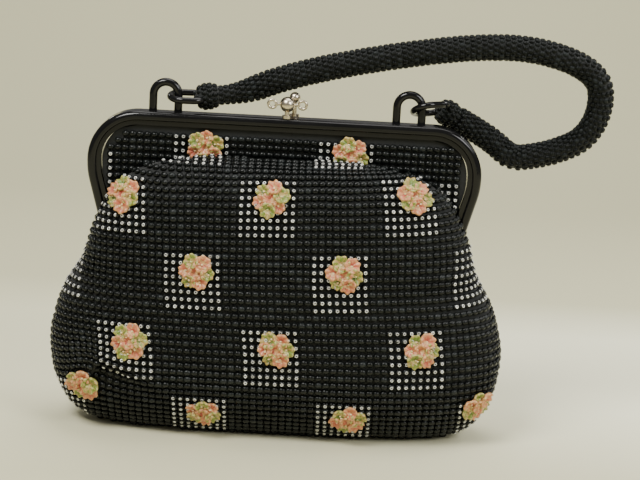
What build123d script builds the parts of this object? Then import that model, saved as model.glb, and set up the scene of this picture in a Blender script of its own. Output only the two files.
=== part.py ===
from build123d import *
import os
from math import atan, cos, pi, sin, sqrt, tan

# Beaded frame handbag: a puffed pouch of beaded cloth under a hinged two-part frame,
# with a ball clasp, two loops and links, and a beaded rope for a handle.
# Millimetres. The front faces -Y, X runs to the right and Z is up. The origin is on
# the floor, under the middle of the pouch. "Out" is the distance from the plane
# where the two frame halves meet, towards the front or towards the rear.

# Cloth and clearances
GAP = 0.3
CLOTH = 2.4
LINING = 0.8
LINING_GAP = 0.6
RUNNING_FIT = 0.05
OVERRUN = 6.0

# Pouch: level, half-width and half-depth of each section, from the floor to the rim
POUCH_HALF_WIDTH = 109.5
POUCH_HALF_DEPTH = 37.0
POUCH_RIM = 83.0
POUCH_SECTION_SHARES = (
    (0.00, 0.80, 0.45),
    (0.09, 0.90, 0.64),
    (0.22, 0.955, 0.83),
    (0.36, 0.99, 0.955),
    (0.52, 1.00, 1.00),
    (0.76, 0.96, 0.985),
    (1.00, 0.86, 0.945),
)
SECTION_ROUNDNESS_SHARE = 0.8
SECTION_POINTS = 20

# Upper cloth, front and rear: sections from the rim up to the ledge
PUFF_HEIGHT = 49.0
PUFF_SECTION_SHARES = (
    (-0.15, 0.885, 0.965),
    (0.08, 0.851, 0.935),
    (0.33, 0.82, 0.90),
    (0.62, 0.76, 0.83),
    (0.84, 0.68, 0.72),
    (0.96, 0.57, 0.57),
    (1.00, 0.46, 0.41),
)
PUFF_POINTS = 12
NECK_DROP = 10.0
NECK_TOP_SHARE = 0.88

# Frame bar: path of its outer edge, then its section
FRAME_INSET = 15.5
FRAME_HEIGHT = 65.0
FRAME_CORNER_RADIUS = 24.0
KNEE_DROP = 30.0
KNEE_RADIUS = 36.0
KNEE_ROOM_SHARE = 0.9
HINGE_RISE = 6.0
HINGE_INSET = 9.5
BAR_FACE = 6.5
BEAD_FACE = 4.4
BEAD_DEPTH = 5.6
BEAD_RADIUS = 2.3
BEAD_STEP_RADIUS = 1.0
FLANGE_DEPTH = 4.4
CHANNEL_FLOOR = 3.5
CHANNEL_NEAR = 1.9
SHEET = 1.2

# Hinge: one ear on each frame half, lapped, with a headed pin through both
EAR_RADIUS = 4.0
EAR_THICKNESS = 1.5
EAR_LAP = 4.0
EAR_INSET = 1.48
PIN_RADIUS = 1.2
PIN_HEAD_RADIUS = 2.4
PIN_HEAD_THICKNESS = 0.9

# Fittings that stand on the top bar
FITTING_OUT = 2.4
PEG_RADIUS = 1.2
PEG_LENGTH = 2.8
LOOP_INSET = 36.0
LOOP_WIRE_RADIUS = 1.95
LOOP_WIDTH = 15.9
LOOP_HEIGHT = 15.5

# Ball clasp
BALL_RADIUS = 3.65
BALL_RISE = 6.6
STEM_RADIUS = 1.1
COLLAR_RADIUS = 2.3
COLLAR_HEIGHT = 1.4
EAR_RING_RADIUS = 1.9
EAR_RING_WIRE_RADIUS = 0.65
EAR_RING_REACH = 7.2
REAR_BALL_RADIUS = 2.6
REAR_BALL_RISE = 9.4
REAR_BALL_SIDE = 3.3

# Links and handle
LINK_WIRE_RADIUS = 1.6
LINK_LENGTH = 20.0
LINK_WIDTH = 16.0
LINK_RISE = 7.0
LINK_PLAY = 0.4
LEFT_LINK_HEADING_DEG = 4.0
LEFT_LINK_TILT_DEG = 9.0
RIGHT_LINK_HEADING_DEG = 30.0
RIGHT_LINK_TILT_DEG = -28.0
ROPE_RADIUS = 6.2
HANDLE_END_RADIUS = 6.0
HANDLE_END_LENGTH = 14.0
HANDLE_END_ROUNDING = 2.0
ROPE_ROUTE = (
    (-32.0, 4.0, 162.4),
    (-22.0, 4.6, 163.6),
    (-7.0, 5.4, 170.5),
    (19.0, 6.2, 178.4),
    (52.0, 7.0, 186.4),
    (86.0, 8.0, 192.4),
    (115.0, 9.0, 193.6),
    (138.0, 10.0, 187.5),
    (150.0, 11.0, 172.5),
    (145.0, 12.3, 154.0),
    (129.0, 13.6, 141.5),
    (107.5, 15.2, 142.4),
    (92.0, 15.4, 150.4),
    (82.5, 13.2, 155.2),
)
BEND_SHARE = 0.45

# Rosettes: seven florets each, one on every crystal square of the checkerboard
ROSETTE_PITCH = 5.0
FLORET_RADIUS = 2.9
ROSETTE_HEIGHT = 2.2
SQUARE_STEP_SHARE = 0.3260274
PATTERN_SHIFT = -6.0
ROSETTE_SHIFT = 1.5
LOW_ROSETTE_LEVEL = 16.5
MIDDLE_ROSETTE_LEVEL = 44.5
SEAM_ROSETTE_RISE = 1.0
SEAM_LIFT = 0.8
PUFF_ROSETTE_DROP = 13.0
SHEET_ROSETTE_DROP = 15.5

# Worked out from the sizes above
LEDGE = POUCH_RIM + PUFF_HEIGHT
HINGE_LEVEL = POUCH_RIM + HINGE_RISE
FRAME_TOP = HINGE_LEVEL + FRAME_HEIGHT
KNEE_LEVEL = FRAME_TOP - KNEE_DROP
FRAME_HALF_WIDTH = POUCH_HALF_WIDTH - FRAME_INSET
HINGE_HALF_WIDTH = FRAME_HALF_WIDTH - HINGE_INSET
LOOP_X = FRAME_HALF_WIDTH - LOOP_INSET
SQUARE_STEP = POUCH_HALF_WIDTH * SQUARE_STEP_SHARE
SEAM_ROSETTE_LEVEL = POUCH_RIM + SEAM_ROSETTE_RISE
PUFF_ROSETTE_LEVEL = LEDGE - PUFF_ROSETTE_DROP
SHEET_ROSETTE_LEVEL = FRAME_TOP - SHEET_ROSETTE_DROP
UPPER_BASE = POUCH_RIM + GAP
PUFF_BACK = BEAD_DEPTH + 2 * GAP
ARM_SLOPE = (FRAME_HALF_WIDTH - HINGE_HALF_WIDTH) / (KNEE_LEVEL - HINGE_LEVEL)
ARM_STRETCH = sqrt(1 + ARM_SLOPE**2)
KNEE_ROOM = KNEE_ROOM_SHARE * (KNEE_DROP - FRAME_CORNER_RADIUS)
KNEE_BEND = min(KNEE_RADIUS, KNEE_ROOM / tan(atan(ARM_SLOPE) / 2))
ARM_FOOT = HINGE_LEVEL + EAR_RADIUS + 3 * GAP
SHEET_BASE = ARM_FOOT + EAR_LAP + GAP
SHEET_NEAR = CHANNEL_NEAR + GAP
CHANNEL_FAR = SHEET_NEAR + SHEET + GAP
LOOP_LEG = LOOP_WIDTH / 2 - LOOP_WIRE_RADIUS
REAR_EAR_X = HINGE_HALF_WIDTH + ARM_SLOPE * (ARM_FOOT - HINGE_LEVEL) - EAR_INSET
FRONT_EAR_X = REAR_EAR_X - EAR_THICKNESS - GAP


def superellipse(half_width, half_depth, angle, near):
    """A point of a rounded outline; near is the depth at which its sides end."""
    c, s = cos(angle), sin(angle)
    x = half_width * abs(c) ** SECTION_ROUNDNESS_SHARE * (1 if c >= 0 else -1)
    y = near + (half_depth - near) * abs(s) ** SECTION_ROUNDNESS_SHARE * (1 if s >= 0 else -1)
    return x, y


def pouch_solid(inset):
    """The pouch's full form, smaller by the inset on every side but its open top."""
    sections = []
    for level_share, width_share, depth_share in POUCH_SECTION_SHARES:
        level = inset + (POUCH_RIM - inset) * level_share
        half_width = POUCH_HALF_WIDTH * width_share - inset
        half_depth = POUCH_HALF_DEPTH * depth_share - inset
        points = []
        for step in range(SECTION_POINTS):
            x, y = superellipse(half_width, half_depth, 2 * pi * step / SECTION_POINTS, 0)
            points.append((x, y, level))
        sections.append(make_face(Spline(*points, periodic=True)))
    return loft(sections)


def puff_solid(inset):
    """The puff of the upper rear cloth, from a little below the pouch's rim up to the ledge."""
    sections = []
    for level_share, width_share, depth_share in PUFF_SECTION_SHARES:
        level = UPPER_BASE + (LEDGE - inset - UPPER_BASE) * level_share
        half_width = POUCH_HALF_WIDTH * width_share - inset
        half_depth = POUCH_HALF_DEPTH * depth_share - inset
        points = []
        for step in range(PUFF_POINTS + 1):
            x, y = superellipse(half_width, half_depth, pi * step / PUFF_POINTS, PUFF_BACK + inset)
            points.append((x, y, level))
        outline = Spline(*points) + Line(points[-1], points[0])
        sections.append(make_face(outline))
    return loft(sections)


def arm_half_width(level, inset):
    """Half-width between the arms at a level, measured inset from their outer edge."""
    return HINGE_HALF_WIDTH + ARM_SLOPE * (level - HINGE_LEVEL) - inset * ARM_STRETCH


def frame_points(inset, base, out):
    """Corners of the frame's outline, inset from its outer edge, from one foot to the other."""
    half_width = FRAME_HALF_WIDTH - inset
    knee = KNEE_LEVEL + inset * (ARM_STRETCH - 1) / ARM_SLOPE
    foot_x = arm_half_width(base, inset)
    left = [(-foot_x, out, base), (-half_width, out, knee), (-half_width, out, FRAME_TOP - inset)]
    return left + [(-x, y, z) for x, y, z in reversed(left)]


def frame_radii(inset):
    """Corner radii that go with frame_points, without its two feet."""
    knee = KNEE_BEND - inset
    corner = FRAME_CORNER_RADIUS - inset
    return [knee, corner, corner, knee]


def frame_sheet(inset, near, far):
    """A flat sheet inside the frame, of its outline, between two distances out."""
    outline = FilletPolyline(*frame_points(inset, SHEET_BASE, near), radius=frame_radii(inset))
    face = make_face(outline + Line(outline @ 1, outline @ 0))
    return extrude(face, far - near, dir=(0, 1, 0))


def neck_solid(inset, near, far):
    """The passage from the frame's opening into the puff, begun below the pouch's rim."""
    base = UPPER_BASE - OVERRUN
    top = LEDGE - NECK_DROP - inset
    seam_x = arm_half_width(UPPER_BASE, BAR_FACE + GAP) - inset
    top_x = seam_x * NECK_TOP_SHARE
    foot_x = seam_x + OVERRUN * (seam_x - top_x) / (top - UPPER_BASE)
    corners = [(-foot_x, near, base), (-top_x, near, top), (top_x, near, top), (foot_x, near, base)]
    return extrude(make_face(Polyline(*corners, close=True)), far - near, dir=(0, 1, 0))


def upper_cloth(inset, thickness, sheet):
    """The puff with its neck and the flat sheet that runs up into the frame, cut off at the seam."""
    near = SHEET_NEAR if inset == 0 else CHANNEL_NEAR - thickness
    inner = inset + thickness
    outside = puff_solid(inset) + neck_solid(inset, near, PUFF_BACK + inset + thickness / 2) + sheet
    passage = neck_solid(inner, 0, PUFF_BACK + inner + OVERRUN)
    floor_cut = Rectangle(4 * POUCH_HALF_WIDTH, 4 * POUCH_HALF_DEPTH)
    under = extrude(Plane(origin=(0, 0, UPPER_BASE - POUCH_RIM)) * floor_cut, POUCH_RIM)
    return outside - puff_solid(inner) - passage - under


def rear_panel():
    """Beaded cloth of the rear, held in the frame's channel."""
    sheet = frame_sheet(CHANNEL_FLOOR + GAP, SHEET_NEAR, SHEET_NEAR + SHEET)
    return upper_cloth(0, CLOTH, sheet)


def rear_lining():
    """Lining behind the rear panel, up to the frame's inner flange."""
    sheet = frame_sheet(BAR_FACE + GAP, CHANNEL_NEAR - LINING, CHANNEL_NEAR)
    return upper_cloth(CLOTH + LINING_GAP, LINING, sheet)


def frame_section():
    """Bar section: round bead outside, thin flange inside, with a channel for the cloth."""
    corners = [
        (0, GAP / 2),
        (0, BEAD_DEPTH),
        (BEAD_FACE, BEAD_DEPTH),
        (BEAD_FACE, FLANGE_DEPTH),
        (BAR_FACE, FLANGE_DEPTH),
        (BAR_FACE, CHANNEL_FAR),
        (CHANNEL_FLOOR, CHANNEL_FAR),
        (CHANNEL_FLOOR, CHANNEL_NEAR),
        (BAR_FACE, CHANNEL_NEAR),
        (BAR_FACE, GAP / 2),
    ]
    face = make_face(Polyline(*corners, close=True))
    step_corner = face.vertices().sort_by_distance((BEAD_FACE, BEAD_DEPTH))[:1]
    face = fillet(step_corner, BEAD_STEP_RADIUS)
    outer_corner = face.vertices().sort_by_distance((0, BEAD_DEPTH))[:1]
    return fillet(outer_corner, BEAD_RADIUS)


def rear_bar():
    """The bare bar of the rear frame half, swept up one arm, across and down the other."""
    path = FilletPolyline(*frame_points(0, ARM_FOOT, 0), radius=frame_radii(0))
    upward = path % 0
    inward = Vector(upward.Z, 0, -upward.X)
    section_plane = Plane(origin=path @ 0, x_dir=inward, z_dir=upward)
    return sweep(section_plane * frame_section(), path=path)


def x_cylinder(radius, start, end):
    """A cylinder on the hinge line, from one x to another."""
    plane = Plane(origin=(start, 0, HINGE_LEVEL), x_dir=(0, 1, 0), z_dir=(1, 0, 0))
    return extrude(plane * Circle(radius), end - start)


def hinge_ear(side, start, towards):
    """One ear: a disc on the hinge line with a neck up into the frame's arm."""
    first, last = sorted((side * start, side * (start + EAR_THICKNESS)))
    disc = x_cylinder(EAR_RADIUS, first, last)
    near, far = towards * GAP, towards * EAR_RADIUS
    top = ARM_FOOT + EAR_LAP
    corners = [(first, near, HINGE_LEVEL), (first, far, HINGE_LEVEL), (first, far, top), (first, near, top)]
    neck = extrude(make_face(Polyline(*corners, close=True)), last - first, dir=(1, 0, 0))
    return disc + neck


def add_ears(bar, start, towards):
    """A frame half with its two ears and their pin holes."""
    for side in (-1, 1):
        bar = bar + hinge_ear(side, start, towards)
        hole_ends = sorted((side * (FRONT_EAR_X - OVERRUN), side * (REAR_EAR_X + OVERRUN)))
        bar = bar - x_cylinder(PIN_RADIUS + RUNNING_FIT, *hole_ends)
    return bar


def hinge_pin(side):
    """A headed pin through both ears."""
    inner = FRONT_EAR_X - GAP
    outer = REAR_EAR_X + EAR_THICKNESS + GAP
    shank = x_cylinder(PIN_RADIUS, *sorted((side * inner, side * outer)))
    for head_start in (inner - PIN_HEAD_THICKNESS, outer):
        ends = sorted((side * head_start, side * (head_start + PIN_HEAD_THICKNESS)))
        shank = shank + x_cylinder(PIN_HEAD_RADIUS, *ends)
    return shank


def upright(radius, x, y, base, height):
    """An upright cylinder with its base at a level."""
    return extrude(Plane(origin=(x, y, base)) * Circle(radius), height)


def peg(x, y):
    """The peg of a fitting, down into the top bar."""
    return upright(PEG_RADIUS, x, y, FRAME_TOP - PEG_LENGTH, PEG_LENGTH)


def peg_hole(x, y):
    """The hole in the top bar for a peg."""
    depth = PEG_LENGTH + GAP
    return upright(PEG_RADIUS + RUNNING_FIT, x, y, FRAME_TOP - depth, depth + GAP)


def front_frame():
    """Front frame half with its ears and the clasp's hole."""
    return add_ears(mirror(rear_bar(), about=Plane.XZ), FRONT_EAR_X, -1) - peg_hole(0, -FITTING_OUT)


def rear_frame():
    """Rear frame half with its ears and the holes of the clasp and the loops."""
    bar = add_ears(rear_bar(), REAR_EAR_X, 1) - peg_hole(REAR_BALL_SIDE, FITTING_OUT)
    for middle in (-LOOP_X, LOOP_X):
        for leg in (-LOOP_LEG, LOOP_LEG):
            bar = bar - peg_hole(middle + leg, FITTING_OUT)
    return bar


def loop(middle):
    """A horseshoe of round wire with two pegs."""
    bend = FRAME_TOP + LOOP_HEIGHT - LOOP_WIRE_RADIUS - LOOP_LEG
    left, right = middle - LOOP_LEG, middle + LOOP_LEG
    arch = ThreePointArc(
        (left, FITTING_OUT, bend), (middle, FITTING_OUT, bend + LOOP_LEG), (right, FITTING_OUT, bend)
    )
    path = (
        Line((left, FITTING_OUT, FRAME_TOP), (left, FITTING_OUT, bend))
        + arch
        + Line((right, FITTING_OUT, bend), (right, FITTING_OUT, FRAME_TOP))
    )
    wire = sweep(Plane(origin=(left, FITTING_OUT, FRAME_TOP)) * Circle(LOOP_WIRE_RADIUS), path=path)
    return wire + peg(left, FITTING_OUT) + peg(right, FITTING_OUT)


def clasp_post(x, y, ball_radius, ball_rise):
    """A peg, collar, stem and ball."""
    post = peg(x, y) + upright(COLLAR_RADIUS, x, y, FRAME_TOP, COLLAR_HEIGHT)
    post = post + upright(STEM_RADIUS, x, y, FRAME_TOP, ball_rise)
    return post + Pos(x, y, FRAME_TOP + ball_rise) * Sphere(ball_radius)


def clasp_front():
    """The front ball with an open ring ear on a thin neck at each side."""
    level = FRAME_TOP + BALL_RISE
    clasp = clasp_post(0, -FITTING_OUT, BALL_RADIUS, BALL_RISE)
    neck_plane = Plane(origin=(0, -FITTING_OUT, level), x_dir=(0, 1, 0), z_dir=(1, 0, 0))
    neck_reach = EAR_RING_REACH - EAR_RING_RADIUS
    clasp = clasp + extrude(neck_plane * Circle(EAR_RING_WIRE_RADIUS), neck_reach, both=True)
    for side in (-1, 1):
        ring_plane = Plane(origin=(side * EAR_RING_REACH, -FITTING_OUT, level), z_dir=(0, 1, 0))
        clasp = clasp + ring_plane * Torus(EAR_RING_RADIUS, EAR_RING_WIRE_RADIUS)
    return clasp


def link_solid(side_x, heading, tilt, wire_radius):
    """An oval link round a loop's right leg, pulled against it from the right."""
    across = LINK_WIDTH / 2 - LINK_WIRE_RADIUS
    straight = LINK_LENGTH / 2 - LINK_WIRE_RADIUS - across
    pull = LINK_LENGTH / 2 - 2 * LINK_WIRE_RADIUS - LOOP_WIRE_RADIUS - LINK_PLAY
    along = Vector(1, 0, 0).rotate(Axis.Z, heading)
    normal = Vector(0, 0, 1).rotate(Axis((0, 0, 0), along), tilt)
    leg = Vector(side_x + LOOP_LEG, FITTING_OUT, FRAME_TOP + LINK_RISE)
    plane = Plane(origin=leg + along * pull, x_dir=along, z_dir=normal)
    path = (
        Line((-straight, -across), (straight, -across))
        + ThreePointArc((straight, -across), (straight + across, 0), (straight, across))
        + Line((straight, across), (-straight, across))
        + ThreePointArc((-straight, across), (-straight - across, 0), (-straight, -across))
    )
    section = Plane(origin=(-straight, -across, 0), z_dir=(1, 0, 0)) * Circle(wire_radius)
    return plane * sweep(section, path=path)


def left_link(wire_radius):
    """The left link, lying nearly flat."""
    return link_solid(-LOOP_X, LEFT_LINK_HEADING_DEG, LEFT_LINK_TILT_DEG, wire_radius)


def right_link(wire_radius):
    """The right link, turned back and tipped."""
    return link_solid(LOOP_X, RIGHT_LINK_HEADING_DEG, RIGHT_LINK_TILT_DEG, wire_radius)


def handle_end(rope_end, next_point, link_space):
    """A bound end of the rope, a short barrel with room for its link."""
    start = Vector(rope_end)
    outward = (start - Vector(next_point)).normalized()
    barrel = extrude(Plane(origin=start, z_dir=outward) * Circle(HANDLE_END_RADIUS), HANDLE_END_LENGTH)
    far_face = barrel.faces().sort_by_distance(start + outward * HANDLE_END_LENGTH)[0]
    return fillet(far_face.edges(), HANDLE_END_ROUNDING) - link_space


def rope_radii():
    """Bend radius at each inner point of the rope's route, as large as its runs allow."""
    points = [Vector(point) for point in ROPE_ROUTE]
    radii = []
    for before, here, after in zip(points, points[1:], points[2:]):
        shorter = min((here - before).length, (after - here).length)
        turn = (here - before).get_angle(after - here) * pi / 180
        radii.append(BEND_SHARE * shorter / tan(turn / 2))
    return radii


def handle_rope():
    """The rope between its two bound ends."""
    path = FilletPolyline(*ROPE_ROUTE, radius=rope_radii())
    section = Plane(origin=path @ 0, z_dir=path % 0) * Circle(ROPE_RADIUS)
    rope = sweep(section, path=path)
    print("rope radii", [round(radius, 1) for radius in rope_radii()])
    print("rope length", round(path.length, 1), "volume", round(rope.volume),
          "section by length", round(pi * ROPE_RADIUS**2 * path.length))
    return rope


def rosette(plane):
    """Seven florets on a flat back."""
    florets = RegularPolygon(FLORET_RADIUS, 6)
    for step in range(6):
        florets = florets + Rot(0, 0, 60 * step) * Pos(ROSETTE_PITCH, 0) * RegularPolygon(FLORET_RADIUS, 6)
    return extrude(plane * florets, ROSETTE_HEIGHT)


def rosette_on(cloth, x, level, towards, lift=GAP):
    """A rosette lifted just off the cloth, flat to it, on the front or the rear."""
    start = (x, towards * (POUCH_HALF_DEPTH + OVERRUN), level)
    hits = cloth.find_intersection_points(Axis(start, (0, -towards, 0)))
    point, normal = max(hits, key=lambda hit: towards * hit[0].Y)
    outward = normal if normal.Y * towards > 0 else -normal
    return rosette(Plane(origin=point + outward * lift, x_dir=(1, 0, 0), z_dir=outward))


def row_places(wide):
    """The x of the rosettes in a row: three in a wide row and two in the next."""
    middle = PATTERN_SHIFT + ROSETTE_SHIFT
    steps = (-2, 0, 2) if wide else (-1, 1)
    return [middle + step * SQUARE_STEP for step in steps]


def pouch_rosettes(pouch_form, panel, towards):
    """The rosettes on one face of the pouch. The top row lies over the foot of the upper cloth."""
    solids = [rosette_on(panel, x, SEAM_ROSETTE_LEVEL, towards, SEAM_LIFT) for x in row_places(False)]
    solids += [rosette_on(pouch_form, x, MIDDLE_ROSETTE_LEVEL, towards) for x in row_places(True)]
    solids += [rosette_on(pouch_form, x, LOW_ROSETTE_LEVEL, towards) for x in row_places(False)]
    return Compound(children=solids)


def upper_rosettes(panel, towards):
    """The rosettes on the upper cloth: one row on the puff, one on the sheet above it."""
    solids = [rosette_on(panel, x, PUFF_ROSETTE_LEVEL, towards) for x in row_places(True)]
    solids += [rosette_on(panel, x, SHEET_ROSETTE_LEVEL, towards) for x in row_places(False)]
    return Compound(children=solids)


def build():
    """Every piece of the bag, by name."""
    pouch_form = pouch_solid(0)
    rear = rear_panel()
    rear_inner = rear_lining()
    front = mirror(rear, about=Plane.XZ)
    return {
        "pouch": pouch_form - pouch_solid(CLOTH),
        "lining": pouch_solid(CLOTH + LINING_GAP) - pouch_solid(CLOTH + LINING_GAP + LINING),
        "rear_panel": rear,
        "rear_lining": rear_inner,
        "front_panel": front,
        "front_lining": mirror(rear_inner, about=Plane.XZ),
        "rear_frame": rear_frame(),
        "front_frame": front_frame(),
        "hinge_pin_left": hinge_pin(-1),
        "hinge_pin_right": hinge_pin(1),
        "loop_left": loop(-LOOP_X),
        "loop_right": loop(LOOP_X),
        "clasp_front": clasp_front(),
        "clasp_rear": clasp_post(REAR_BALL_SIDE, FITTING_OUT, REAR_BALL_RADIUS, REAR_BALL_RISE),
        "link_left": left_link(LINK_WIRE_RADIUS),
        "link_right": right_link(LINK_WIRE_RADIUS),
        "handle_end_left": handle_end(ROPE_ROUTE[0], ROPE_ROUTE[1], left_link(LINK_WIRE_RADIUS + GAP)),
        "handle_end_right": handle_end(ROPE_ROUTE[-1], ROPE_ROUTE[-2], right_link(LINK_WIRE_RADIUS + GAP)),
        "handle_rope": handle_rope(),
        "rosettes_pouch_front": pouch_rosettes(pouch_form, front, -1),
        "rosettes_pouch_rear": pouch_rosettes(pouch_form, rear, 1),
        "rosettes_upper_front": upper_rosettes(front, -1),
        "rosettes_upper_rear": upper_rosettes(rear, 1),
    }


os.makedirs("parts", exist_ok=True)
for node, shape in build().items():
    export_step(shape, f"parts/{node}.step")
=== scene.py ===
import math
import random

import bmesh
import bpy
import numpy as np
from mathutils import Matrix, Vector


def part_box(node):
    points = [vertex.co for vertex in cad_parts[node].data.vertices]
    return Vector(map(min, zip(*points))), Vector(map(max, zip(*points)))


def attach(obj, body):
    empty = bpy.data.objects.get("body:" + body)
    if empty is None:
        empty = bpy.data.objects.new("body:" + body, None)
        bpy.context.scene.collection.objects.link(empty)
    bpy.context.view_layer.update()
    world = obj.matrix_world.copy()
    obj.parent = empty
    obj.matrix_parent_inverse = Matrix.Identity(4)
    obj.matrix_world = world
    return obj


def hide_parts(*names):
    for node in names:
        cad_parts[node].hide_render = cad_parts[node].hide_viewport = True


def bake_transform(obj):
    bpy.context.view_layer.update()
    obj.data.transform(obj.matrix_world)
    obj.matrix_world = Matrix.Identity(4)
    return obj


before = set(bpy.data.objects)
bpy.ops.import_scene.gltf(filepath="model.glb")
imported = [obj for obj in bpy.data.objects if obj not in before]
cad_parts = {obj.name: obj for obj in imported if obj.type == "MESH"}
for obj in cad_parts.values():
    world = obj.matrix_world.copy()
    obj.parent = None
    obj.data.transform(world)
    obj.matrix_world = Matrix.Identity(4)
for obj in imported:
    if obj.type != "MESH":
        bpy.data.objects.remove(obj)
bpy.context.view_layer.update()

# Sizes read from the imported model
HALF_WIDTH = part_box("pouch")[1][0]
HALF_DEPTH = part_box("pouch")[1][1]
FRAME_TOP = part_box("front_frame")[1][2]

# Outline of the cloth from the floor to the ledge: level, then shares of the half-width and half-depth
CLOTH_PROFILE = (
    (0.0000, 0.800, 0.450),
    (0.0075, 0.900, 0.640),
    (0.0183, 0.955, 0.830),
    (0.0299, 0.990, 0.955),
    (0.0432, 1.000, 1.000),
    (0.0631, 0.960, 0.985),
    (0.0830, 0.862, 0.945),
    (0.0994, 0.820, 0.900),
    (0.1135, 0.760, 0.830),
    (0.1242, 0.680, 0.720),
    (0.1300, 0.570, 0.570),
    (0.1322, 0.460, 0.410),
    (0.1334, 0.400, 0.300),
    (0.1338, 0.340, 0.210),
)
PROFILE_STEPS = 1600
SECTION_ROUNDNESS = 0.8
CLOTH_INSET = 0.0015
CLOTH_FLOOR, CLOTH_FLOOR_FADE = 0.0021, 0.020
SIDE_GAP, SIDE_GAP_SHARE = 0.0062, 0.9
SIDE_GAP_FROM, SIDE_GAP_TO = 0.076, 0.088

# Gathers under the ledge and slow swells below them: depths, and waves in radians a metre
GATHER_DEPTH, GATHER_WAVES = 0.0007, 225
GATHER_LEVEL, GATHER_REACH = 0.124, 0.013
SWELL_DEPTH, SWELL_WAVES_ACROSS, SWELL_WAVES_UP = 0.0007, 42, 55

# Fold at the lower left of the front: its line from left to right, how far it stands out and in there,
# and how far it draws up the rows of beads beside it
FOLD_X = (-0.0940, -0.0880, -0.0825, -0.0730, -0.0630, -0.0550)
FOLD_LEVELS = (0.0180, 0.0230, 0.0345, 0.0330, 0.0280, 0.0240)
FOLD_MIDDLE, FOLD_REACH = -0.076, 0.017
FOLD_LIP, FOLD_LIP_RISE, FOLD_LIP_REACH = 0.0038, 0.0024, 0.014
FOLD_DENT, FOLD_DENT_ABOVE, FOLD_DENT_BELOW = 0.0011, 0.0015, 0.009
FOLD_PULL, FOLD_PULL_X, FOLD_PULL_LEVEL = 0.0050, -0.087, 0.030
FOLD_PULL_ACROSS, FOLD_PULL_UP = 0.013, 0.014

# Flat cloth in the frame's opening
SHEET_OUT = 0.0033
SHEET_HALF_WIDTH = 0.0868
SHEET_TOP = FRAME_TOP - 0.0068
SHEET_FOOT = 0.100
SHEET_CORNER = 0.017
SHEET_TAPER, SHEET_TAPER_LEVEL = 0.27, 0.124
SHEET_CLOTH_BEHIND = 0.0006

# Front lining: how far it lies behind the cloth, and the level of the pouch's rim
LINING_BEHIND = 0.0021
FLAT_LINING_BEHIND = 0.0010
LINING_RIM = 0.0835

# Bead pattern: a chequer of crystal squares, eight beads a side in cells of ten
COLUMN_PITCH = 0.00344
HIGH_ROW_PITCH = 0.00340
ROW_PITCH = 0.00360
CELL = 10
PATTERN_LEVEL = 0.0812
PATTERN_LEVELS = (0.012, 0.044, 0.081, 0.115)
PATTERN_MIDDLES = (0.0, -0.001, -0.0053, -0.0066)
PATTERN_TILTS = (0.0, 0.020, 0.034, 0.052)
PATTERN_ROWS = range(-30, 50)
FOOT_MARGIN, LEDGE_MARGIN, SIDE_MARGIN = 0.0012, 0.0004, 0.0010
BASE_COLUMNS = range(-30, 31)
BASE_ROUNDNESS, BASE_FILL = 2.5, 0.97

# The pattern on the flat cloth, with the squares that the frame cuts off at the ends of the opening
SHEET_PATTERN_X = -0.0055
SHEET_PATTERN_LEVEL = 0.1378
SHEET_ROWS, SHEET_COLUMNS = range(-12, 4), range(-30, 32)
SHEET_BEADS_FROM = 0.104
SHEET_TOP_MARGIN, SHEET_SIDE_MARGIN, SHEET_TUCK = 0.0010, 0.0017, 0.004
CUT_OFF_LEFT, CUT_OFF_LEFT_LEVELS = -0.0802, (0.119, 0.133)
CUT_OFF_RIGHT, CUT_OFF_RIGHT_LEVELS = 0.0740, (0.111, 0.129)

# Beads and crystal rings, and how far they stand off the cloth
BEAD_HALF = (0.00170, 0.00158, 0.00128)
RING_RADIUS, RING_WIRE = 0.00060, 0.00029
BEAD_LIFT, CRYSTAL_LIFT = 0.0008, 0.0019
SHEET_BEAD_LIFT, SHEET_CRYSTAL_LIFT = 0.0002, 0.0013

# Rosettes: one floret in the middle and six petals round it, each petal with two small pips
PETALS = 6
FLORETS_EACH, PIPS_EACH = PETALS + 1, PETALS * 2
FLORET_RADIUS = 0.0036
FLORET_PITCH = 0.0049
ROSETTE_LIFT, MIDDLE_LIFT = 0.0016, 0.0005
PIP_SIZE = 0.30
PIP_LIFT, STRAY_PIP_LIFT = 0.0012, 0.0018
ROSETTE_COLUMN, ROSETTE_ROW = 0.6, 1.3
ROSETTE_CELLS = ((1, (-2, 0, 2)), (0, (-1, 1)), (-1, (-2, 0, 2)), (-1.80, (-2.70, 2.86)), (-2, (-1, 1)))
SHEET_ROSETTE_CELLS = (-1, 1)
SHEET_ROSETTE_LEVEL = 0.1385

# Rope handle: its route, then its thickness, how it narrows at its neck, its beads and its bound ends
ROPE_ROUTE = (
    (-0.0320, 0.0040, 0.1624),
    (-0.0220, 0.0046, 0.1636),
    (-0.0070, 0.0054, 0.1705),
    (0.0190, 0.0062, 0.1784),
    (0.0520, 0.0070, 0.1856),
    (0.0860, 0.0080, 0.1912),
    (0.1130, 0.0090, 0.1922),
    (0.1360, 0.0098, 0.1868),
    (0.1478, 0.0106, 0.1788),
    (0.1500, 0.0113, 0.1690),
    (0.1482, 0.0120, 0.1580),
    (0.1420, 0.0128, 0.1480),
    (0.1300, 0.0137, 0.1422),
    (0.1190, 0.0145, 0.1390),
    (0.1090, 0.0152, 0.1375),
    (0.1010, 0.0155, 0.1445),
    (0.0920, 0.0154, 0.1500),
    (0.0825, 0.0132, 0.1552),
)
ROPE_CORE = 0.0055
ROPE_NECK, ROPE_NECK_LENGTH = 0.70, 0.020
ROPE_BEADS_ROUND = 14
ROPE_BEAD_SIZE = 0.76
ROPE_RING_PITCH = 0.0027
ROPE_END_LENGTH = 0.0125

# Lamp colours
WARM_WHITE, PALE_WHITE = (1.0, 0.98, 0.95), (1.0, 0.99, 0.97)

# Direction along a level row of beads
ACROSS = np.array((1.0, 0, 0))


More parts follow.
